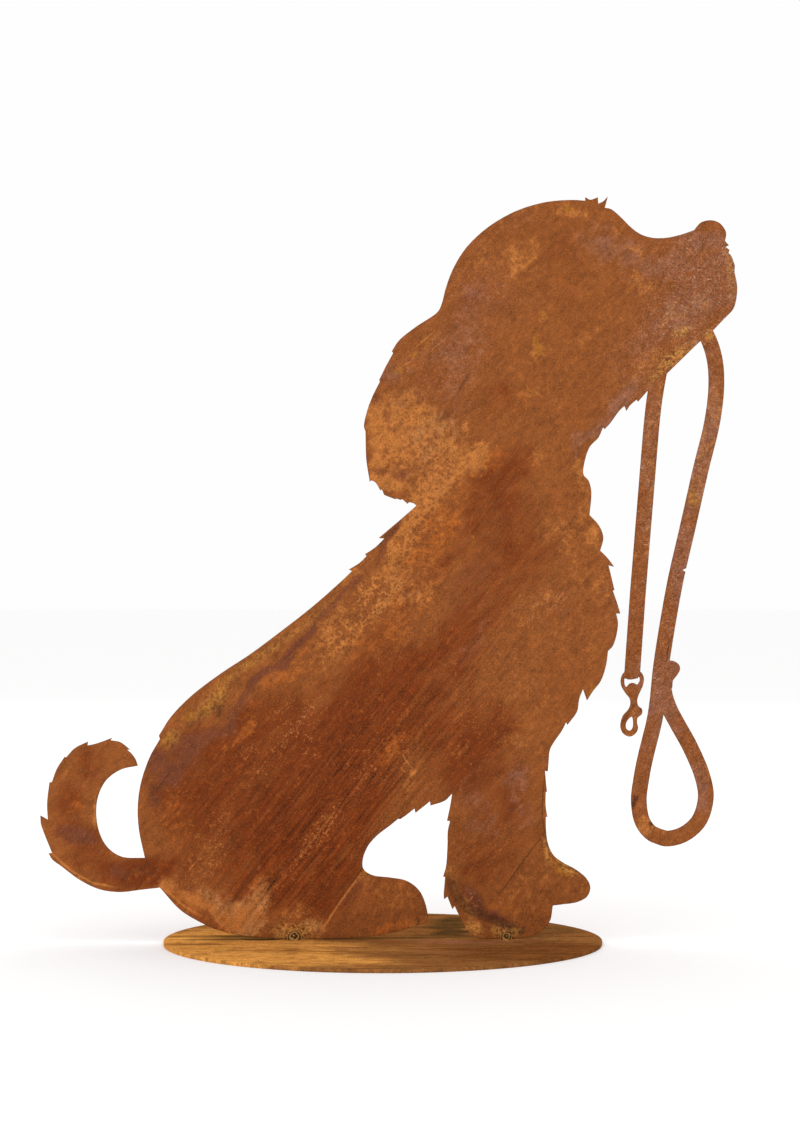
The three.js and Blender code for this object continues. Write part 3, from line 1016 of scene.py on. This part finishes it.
def base_patina(paint):
    """The base's rust: golden at the tail's end, redder at the nose's, with painted shadow and dark
    stains under and behind the dog.
    """
    finish = Finish("base_rust_patina")
    place = finish.place()
    cloudy = finish.cloud(place, 36, 5, 0.65, 0.5)
    mottle = finish.cloud(place, 170, 4, 0.7)
    grain = finish.cloud(place, 640, 2, 0.8)
    rolled = finish.cloud(finish.turned(place, scale=(7, 75, 7)), 1.0, 5, 0.7, 0.6)
    scratched = finish.cloud(finish.turned(place, scale=(14, 260, 14)), 1.0, 4, 0.7, 0.3)

    def cover(name, away, low=0.15, high=0.8):
        """A painted patch with streaks of its own along the rolling direction."""
        patch = finish.painted(name)
        moved = finish.turned(place, location=(away, away, 0), scale=(9, 55, 9))
        own = finish.cloud(moved, 1.0, 5, 0.7, 0.6)
        lifted = finish.sum(patch, finish.around(own, 2.0), finish.around(scratched, 1.0))
        share = finish.math("ADD", finish.product(patch, 1.3), 0.12, clamp=True)
        return finish.product(finish.ramp(lifted, low, high), share)

    golden = cover("golden", 1.3, -0.15, 0.85)
    base = finish.laid(colour(paint.base_rust), golden, paint.base_gold)
    base = finish.laid(base, cover("mauve", 2.9), paint.mauve)
    base = finish.laid(base, cover("red", 4.1), paint.base_brown)
    brown = finish.sum(rolled, finish.around(cloudy, 1.2), finish.around(mottle, 0.5))
    brown = finish.product(finish.ramp(brown, 0.5, 0.68), 0.65)
    base = finish.laid(base, brown, paint.base_brown)
    # Painted shadow under and behind the dog, mixed with dark stains
    base = finish.laid(base, cover("shadow_and_stain", 5.7, 0.0, 0.9), paint.base_shadow_and_stain)

    # Crust round the welds
    halo = finish.near_welds(place, WELD_HALO)
    crumbs = finish.cloud(place, 520, 3, 0.75, 0.5)
    base = finish.laid(base, finish.product(halo, finish.ramp(crumbs, 0.5, 0.4)), paint.dark)
    base = finish.laid(base, finish.product(halo, finish.ramp(crumbs, 0.48, 0.6)), paint.crumb)

    # Painted shade: the rim is darker along its two corners
    edge = finish.product(finish.near_edge(0.001), finish.ramp(mottle, 0.35, 0.65, 0.5, 0.85))
    base = finish.laid(base, edge, paint.dark)
    tone = finish.sum(
        finish.around(rolled, 1.3), finish.around(scratched, 1.6), finish.around(mottle, 1.3),
        finish.around(cloudy, 0.9), finish.around(grain, 1.8), 1.0,
    )
    return finish.finished({
        "Base Color": finish.shaded(base, tone),
        "Roughness": finish.ramp(mottle, 0.3, 0.7, paint.roughness - 0.12, paint.roughness),
        "Specular IOR Level": 0.0,
        "Normal": finish.relief(finish.sum(mottle, finish.product(grain, 0.5)), 0.0002),
    })


def weld_patina(paint):
    """The welds' dark grooves and pale, dusty ridges."""
    finish = Finish("weld_bead_patina")
    place = finish.place()
    mottle = finish.cloud(place, 700, 4, 0.65)
    grain = finish.cloud(place, 2200, 3, 0.7)
    crest = finish.sum(
        finish.painted("crest"), finish.around(mottle, 1.6), finish.around(grain, 0.6),
    )
    base = finish.laid(colour(paint.weld_groove), finish.ramp(crest, 0.35, 0.95), paint.weld_ridge)
    base = finish.laid(base, finish.ramp(mottle, 0.52, 0.7, 0.0, 0.5), paint.deep_rust)
    return finish.finished({
        "Base Color": finish.shaded(base, finish.ramp(grain, 0.3, 0.7, 0.7, 1.3)),
        "Roughness": finish.ramp(mottle, 0.3, 0.7, 0.6, 0.85),
        "Specular IOR Level": 0.05,
        "Normal": finish.relief(finish.sum(mottle, grain), 0.0001),
    })


def in_scene(name, data):
    """A new object in the scene that shows a mesh, a light or a camera."""
    made = bpy.data.objects.new(name, data)
    bpy.context.scene.collection.objects.link(made)
    return made


def new_piece(name, mesh, material, node):
    """A finished piece that stands for a CAD node and rides with it."""
    piece = in_scene(name, mesh)
    mesh.materials.append(material)
    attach(piece, "root")
    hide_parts(node)


def to_mesh(bm, name):
    """Turns a bmesh into a mesh, smooth except at sharp corners."""
    mesh = bpy.data.meshes.new(name)
    bm.to_mesh(mesh)
    bm.free()
    mesh.shade_smooth()
    mesh.set_sharp_from_angle(angle=SHARP_ANGLE)
    return mesh


def merged_copy(node):
    """A bmesh of a CAD node, with its loose triangles joined and its flat faces made whole."""
    bm = bmesh.new()
    bm.from_mesh(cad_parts[node].data)
    for layer in list(bm.loops.layers.uv):
        bm.loops.layers.uv.remove(layer)
    bmesh.ops.remove_doubles(bm, verts=bm.verts, dist=MERGE_DISTANCE)
    bmesh.ops.dissolve_limit(
        bm, angle_limit=FLAT_ANGLE, use_dissolve_boundaries=False, verts=bm.verts, edges=bm.edges,
    )
    return bm


def round_rim(bm, axis, width, segments):
    """Rounds the edges between a plate's two flat sides, square to an axis, and its cut edge."""
    rim = [
        edge for edge in bm.edges
        if len(edge.link_faces) == 2
        and sum(abs(face.normal[axis]) > 0.9 for face in edge.link_faces) == 1
    ]
    bmesh.ops.bevel(
        bm, geom=rim, offset=width, offset_type="OFFSET", segments=segments, profile=0.5,
        affect="EDGES", clamp_overlap=False, loop_slide=False, material=-1,
    )


def cut_in_grid(bm, faces, axis, places):
    """Cuts faces square to an axis at every place, halving them each time."""
    if not places or not faces:
        return
    middle = len(places) // 2
    point = Vector((0, 0, 0))
    point[axis] = places[middle]
    square = Vector((0, 0, 0))
    square[axis] = 1
    edges = {edge for face in faces for edge in face.edges}
    corners = {corner for face in faces for corner in face.verts}
    cut = bmesh.ops.bisect_plane(
        bm, geom=[*faces, *edges, *corners], dist=MERGE_DISTANCE, plane_co=point, plane_no=square,
    )
    pieces = [item for item in cut["geom"] if isinstance(item, bmesh.types.BMFace)]
    lower = [face for face in pieces if face.calc_center_median()[axis] < places[middle]]
    upper = [face for face in pieces if face.calc_center_median()[axis] >= places[middle]]
    cut_in_grid(bm, lower, axis, places[:middle])
    cut_in_grid(bm, upper, axis, places[middle + 1:])


def steps(low, high, pitch):
    """Even places between two limits, about a pitch apart."""
    count = max(int(round((high - low) / pitch)), 1)
    return [low + (high - low) * index / count for index in range(1, count)]


def buckled(bm, depth):
    """Waves the sheet gently out of flat. Its feet stay where they stand on the base."""
    for corner in bm.verts:
        x, y, z = corner.co
        broad = noise.noise(Vector((x * 5.2, 0.4, z * 4.3)))
        fine = noise.noise(Vector((x * 14, 2.1, z * 12)))
        freed = min(1.0, (z - SHEET_LOW.z) / HELD_HEIGHT)
        corner.co.y = y + depth * (broad + 0.5 * fine) * freed


def seat_feet(bm):
    """Lets the feet stand on the base, where the CAD keeps a small gap."""
    for corner in bm.verts:
        if corner.co.z < SHEET_LOW.z + FOOT_LEVEL:
            corner.co.z = BASE_HIGH.z


def painted_patches(points, patches):
    """How strongly each point is covered by a list of patches, from 0 to 1."""
    bare = np.ones(len(points))
    for x, y, half_length, half_width, tilt, strength in patches:
        turn = math.radians(tilt)
        right = points[:, 0] - x
        up = y - points[:, 1]
        along = (right * math.cos(turn) + up * math.sin(turn)) / half_length
        across = (up * math.cos(turn) - right * math.sin(turn)) / half_width
        reach = np.clip(PATCH_END - np.hypot(along, across), 0, 1)
        bare *= 1 - strength * reach * reach * (3 - 2 * reach)
    return 1 - bare


def marks_near(points):
    """Signed distance to the nearest mark in its half widths, and how pale and dark it is there."""
    nearest = np.full(len(points), 1e3)
    offset = np.full(len(points), NO_MARK)
    pale = np.zeros(len(points))
    dark = np.zeros(len(points))
    for line, tone, half_width in MARKS:
        line_points = np.array(line, float)
        lengths = np.hypot(*np.diff(line_points, axis=0).T)
        total = lengths.sum()
        walked = 0.0
        for start, end, length in zip(line_points[:-1], line_points[1:], lengths):
            direction = (end - start) / length
            away = points - start
            along = away @ direction
            across = away[:, 0] * direction[1] - away[:, 1] * direction[0]
            inside = np.clip(along, 0, length)
            distance = np.hypot(along - inside, across)
            closer = distance < nearest
            nearest = np.where(closer, distance, nearest)
            offset = np.where(closer, across / half_width, offset)
            way = (walked + along) / total
            strength = np.clip(np.minimum(way, 1 - way) * 6 + 0.4, 0, 1)
            strength = strength * np.clip(MARK_END - distance, 0, 1)
            pale = np.where(closer, strength * max(tone, 0), pale)
            dark = np.where(closer, strength * max(-tone, 0), dark)
            walked += length
    return offset, pale, dark


def corners_of(mesh):
    """Every corner's place, as rows of X, Y and Z."""
    places = np.zeros(len(mesh.vertices) * 3)
    mesh.vertices.foreach_get("co", places)
    return places.reshape(-1, 3)


def turbulence(places, scale):
    """Rough noise along X, Y and Z at every place, which moves a pattern about."""
    return np.array([
        noise.turbulence_vector(Vector(place), 4, False) for place in places * scale
    ])


def add_layers(mesh, layers):
    """Stores painted values on a mesh as named attributes."""
    for name, values in layers.items():
        layer = mesh.attributes.new(name, "FLOAT", "POINT")
        layer.data.foreach_set("value", values.astype(np.float32))


def paint_sheet(mesh):
    """Paints the patches and marks onto the sheet's two sides."""
    noise.seed_set(NOISE_SEED)
    places = corners_of(mesh)
    drift = turbulence(places, (21, 900, 21))[:, [X, Z]]
    grid_x = GRID_MIDDLE + places[:, X] / GRID_UNIT
    grid_y = GRID_GROUND - (places[:, Z] - SHEET_LOW.z) / GRID_UNIT
    flat = np.column_stack([grid_x, grid_y])
    front = places[:, Y] < 0
    # The back stayed wet in much the same places, but its patches have wandered
    wander = np.array([
        noise.noise_vector(Vector((x * 7, 4.2, z * 7))) for x, _, z in places
    ])[:, [X, Z]] * BACK_WANDER
    front_points = flat + drift * FRONT_DRIFT
    back_points = flat + wander + drift * BACK_DRIFT
    points = np.where(front[:, None], front_points, back_points)
    layers = {name: painted_patches(points, patches) for name, patches in PATCHES.items()}
    offset, pale, dark = marks_near(flat)
    layers["mark_offset"] = offset
    layers["mark_pale"] = np.where(front, pale, 0)
    layers["mark_dark"] = np.where(front, dark, 0)
    # The crust round the welds is on the front alone
    front_crust = painted_patches(flat + drift * CRUST_DRIFT, CRUST_PATCHES)
    above_welds = 1 - np.clip((grid_y - WELD_LINE) / 20, 0, 1)
    layers["crust"] = np.where(front, front_crust, layers["crust"] * above_welds)
    add_layers(mesh, layers)


def paint_base(mesh):
    """Paints the base's patches onto its top and underside."""
    noise.seed_set(NOISE_SEED)
    places = corners_of(mesh)
    drift = turbulence(places, (12, 30, 300))[:, [X, Y]]
    points = places[:, [X, Y]] * 1000 + drift * BASE_DRIFT
    layers = {name: painted_patches(points, patches) for name, patches in BASE_PATCHES.items()}
    add_layers(mesh, layers)


class SCULPTURE_OT_dog_sheet(bpy.types.Operator):
    """Make the dog: the cut sheet with rounded edges and its painted patina"""

    bl_idname = "sculpture.dog_sheet"
    bl_label = "Dog Sheet"

    def execute(self, context):
        sizes = context.scene.sculpture_sheet
        bm = merged_copy("dog_silhouette")
        round_rim(bm, Y, sizes.edge_rounding, segments=2)
        pitch = sizes.mesh_pitch * 1
        for axis in (Z, X):
            cut_in_grid(bm, bm.faces[:], axis, steps(SHEET_LOW[axis], SHEET_HIGH[axis], pitch))
        bmesh.ops.triangulate(bm, faces=bm.faces, quad_method="BEAUTY", ngon_method="BEAUTY")
        buckled(bm, sizes.buckle)
        seat_feet(bm)
        mesh = to_mesh(bm, "dog_sheet")
        paint_sheet(mesh)
        material = sheet_patina(context.scene.sculpture_patina)
        new_piece("dog_sheet", mesh, material, "dog_silhouette")
        return {"FINISHED"}


class SCULPTURE_OT_base_plate(bpy.types.Operator):
    """Make the round base with its rounded rim"""

    bl_idname = "sculpture.base_plate"
    bl_label = "Base Plate"

    def execute(self, context):
        sizes = context.scene.sculpture_base
        bm = bmesh.new()
        bmesh.ops.create_circle(
            bm, cap_ends=True, segments=sizes.segments, radius=BASE_HIGH.x,
            matrix=Matrix.Translation((0, 0, BASE_LOW.z)),
        )
        raised = bmesh.ops.extrude_face_region(bm, geom=bm.faces[:])
        bmesh.ops.translate(
            bm, vec=(0, 0, BASE_HIGH.z - BASE_LOW.z),
            verts=[item for item in raised["geom"] if isinstance(item, bmesh.types.BMVert)],
        )
        bmesh.ops.recalc_face_normals(bm, faces=bm.faces)
        round_rim(bm, Z, sizes.edge_rounding, segments=3)
        for axis in (X, Y):
            places = steps(BASE_LOW.x, BASE_HIGH.x, sizes.mesh_pitch)
            cut_in_grid(bm, bm.faces[:], axis, places)
        mesh = to_mesh(bm, "base_plate")
        paint_base(mesh)
        material = base_patina(context.scene.sculpture_patina)
        new_piece("base_plate", mesh, material, "base_disc")
        return {"FINISHED"}


class SCULPTURE_OT_welds(bpy.types.Operator):
    """Make the two tack welds as rippled beads fused into the corner of sheet and base"""

    bl_idname = "sculpture.welds"
    bl_label = "Tack Welds"

    def execute(self, context):
        sizes = context.scene.sculpture_weld
        material = weld_patina(context.scene.sculpture_patina)
        for node, name in WELDS.items():
            mesh = weld_bead(name, *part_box(node), sizes)
            new_piece(name, mesh, material, node)
        return {"FINISHED"}


def weld_bead(name, low, high, sizes):
    """A bead that fills the box of its CAD node: a lumpy dome with rings round its middle."""
    corner = weld_corner(low, high)
    reach = Vector((high.x - low.x, (high.y - low.y) * 2, (high.z - low.z) * 2)) / 2
    bm = bmesh.new()
    bmesh.ops.create_icosphere(bm, subdivisions=6, radius=1.0)
    crest = bm.verts.layers.float.new("crest")
    middle = WELD_CROWN.normalized()
    for vertex in bm.verts:
        direction = vertex.co.normalized()
        angle = direction.angle(middle) / (math.pi / 2)
        wobble = 0.12 * noise.noise(direction * 2.3 + corner * 90)
        ripple = math.cos(2 * math.pi * sizes.rings * (angle + wobble))
        lump = noise.noise(direction * 4 + corner * 40)
        vertex[crest] = 0.5 + 0.5 * ripple
        inward = sizes.ring_depth * (0.5 - 0.5 * ripple) + WELD_LUMPS * (1 + lump)
        vertex.co = direction * reach * (1 - inward / min(reach))
    bmesh.ops.translate(bm, vec=corner, verts=bm.verts)
    for point, square in (
        (Vector((0, SHEET_LOW.y + sizes.bed, 0)), Vector((0, 1, 0))),
        (Vector((0, 0, BASE_HIGH.z - sizes.bed)), Vector((0, 0, -1))),
    ):
        cut = bmesh.ops.bisect_plane(
            bm, geom=[*bm.verts, *bm.edges, *bm.faces], dist=1e-7, plane_co=point, plane_no=square,
            clear_outer=True,
        )
        rim = [item for item in cut["geom_cut"] if isinstance(item, bmesh.types.BMEdge)]
        bmesh.ops.contextual_create(bm, geom=rim)
    bmesh.ops.recalc_face_normals(bm, faces=bm.faces)
    return to_mesh(bm, name)


def area_light(name, place, size, power):
    """A large soft light that points at the sculpture's middle."""
    lamp = bpy.data.lights.new(name, "AREA")
    lamp.shape = "RECTANGLE"
    lamp.size, lamp.size_y = size
    lamp.energy = power
    light = in_scene(name, lamp)
    light.location = place
    light.rotation_euler = (LIT_POINT - Vector(place)).to_track_quat("-Z", "Y").to_euler()


def studio_floor(settings):
    """A pale, round floor that runs far out behind the sculpture."""
    bm = bmesh.new()
    bmesh.ops.create_circle(bm, cap_ends=True, segments=128, radius=settings.floor_radius)
    mesh = to_mesh(bm, "studio_floor")
    mesh.materials.append(Finish("studio_paper").finished({
        "Base Color": colour(settings.floor_colour),
        "Roughness": 0.95,
        "Specular IOR Level": 0.1,
    }))
    floor = in_scene("studio_floor", mesh)


class SCULPTURE_OT_stage(bpy.types.Operator):
    """Make the floor, the lights and the camera"""

    bl_idname = "sculpture.stage"
    bl_label = "Stage"

    def execute(self, context):
        scene = context.scene
        settings = scene.sculpture_stage
        studio_floor(settings)
        world = bpy.data.worlds.new("studio_light")
        world.use_nodes = True
        sky = world.node_tree.nodes["Background"]
        sky.inputs["Color"].default_value = (1.0, 1.0, 1.0, 1.0)
        sky.inputs["Strength"].default_value = settings.sky
        scene.world = world
        area_light("key", (-1.1, -3.0, 2.3), (2.4, 2.0), settings.key_power)
        area_light("back", (0.8, 3.0, 2.3), (2.4, 2.0), settings.fill_power)
        area_light("top", (0, 0.3, 3.4), (2.8, 2.8), settings.top_power)
        scene.view_settings.view_transform = "Standard"
        camera = in_scene("camera", bpy.data.cameras.new("camera"))
        camera.data.sensor_width = SENSOR_SIDE
        camera.data.lens = settings.focal_length
        camera.data.dof.use_dof = False
        camera.location = (settings.camera_side, -settings.camera_distance, settings.camera_height)
        camera.rotation_euler = (math.radians(90), 0, 0)
        scene.camera = camera
        return {"FINISHED"}


class SCULPTURE_PT_panel(bpy.types.Panel):
    """Lists the sculpture's pieces"""

    bl_idname = "SCULPTURE_PT_panel"
    bl_label = "Dog Sculpture"
    bl_space_type = "VIEW_3D"
    bl_region_type = "UI"
    bl_category = "Sculpture"

    def draw(self, context):
        for operator in OPERATORS:
            self.layout.operator(operator.bl_idname)


OPERATORS = (
    SCULPTURE_OT_stage,
    SCULPTURE_OT_base_plate,
    SCULPTURE_OT_dog_sheet,
    SCULPTURE_OT_welds,
)
SETTINGS = {
    "sculpture_patina": PatinaSettings,
    "sculpture_sheet": SheetSettings,
    "sculpture_base": BaseSettings,
    "sculpture_weld": WeldSettings,
    "sculpture_stage": StageSettings,
}


def register():
    """Adds the settings, the operators and the panel."""
    for settings in SETTINGS.values():
        bpy.utils.register_class(settings)
    for name, settings in SETTINGS.items():
        setattr(bpy.types.Scene, name, bpy.props.PointerProperty(type=settings))
    for operator in OPERATORS:
        bpy.utils.register_class(operator)
    bpy.utils.register_class(SCULPTURE_PT_panel)


def unregister():
    """Takes them out again."""
    bpy.utils.unregister_class(SCULPTURE_PT_panel)
    for operator in reversed(OPERATORS):
        bpy.utils.unregister_class(operator)
    for name in SETTINGS:
        delattr(bpy.types.Scene, name)
    for settings in reversed(SETTINGS.values()):
        bpy.utils.unregister_class(settings)


def main():
    """Makes the stage and every piece."""
    register()
    bpy.ops.sculpture.stage()
    bpy.ops.sculpture.base_plate()
    bpy.ops.sculpture.dog_sheet()
    bpy.ops.sculpture.welds()


if __name__ == "__main__":
    main()
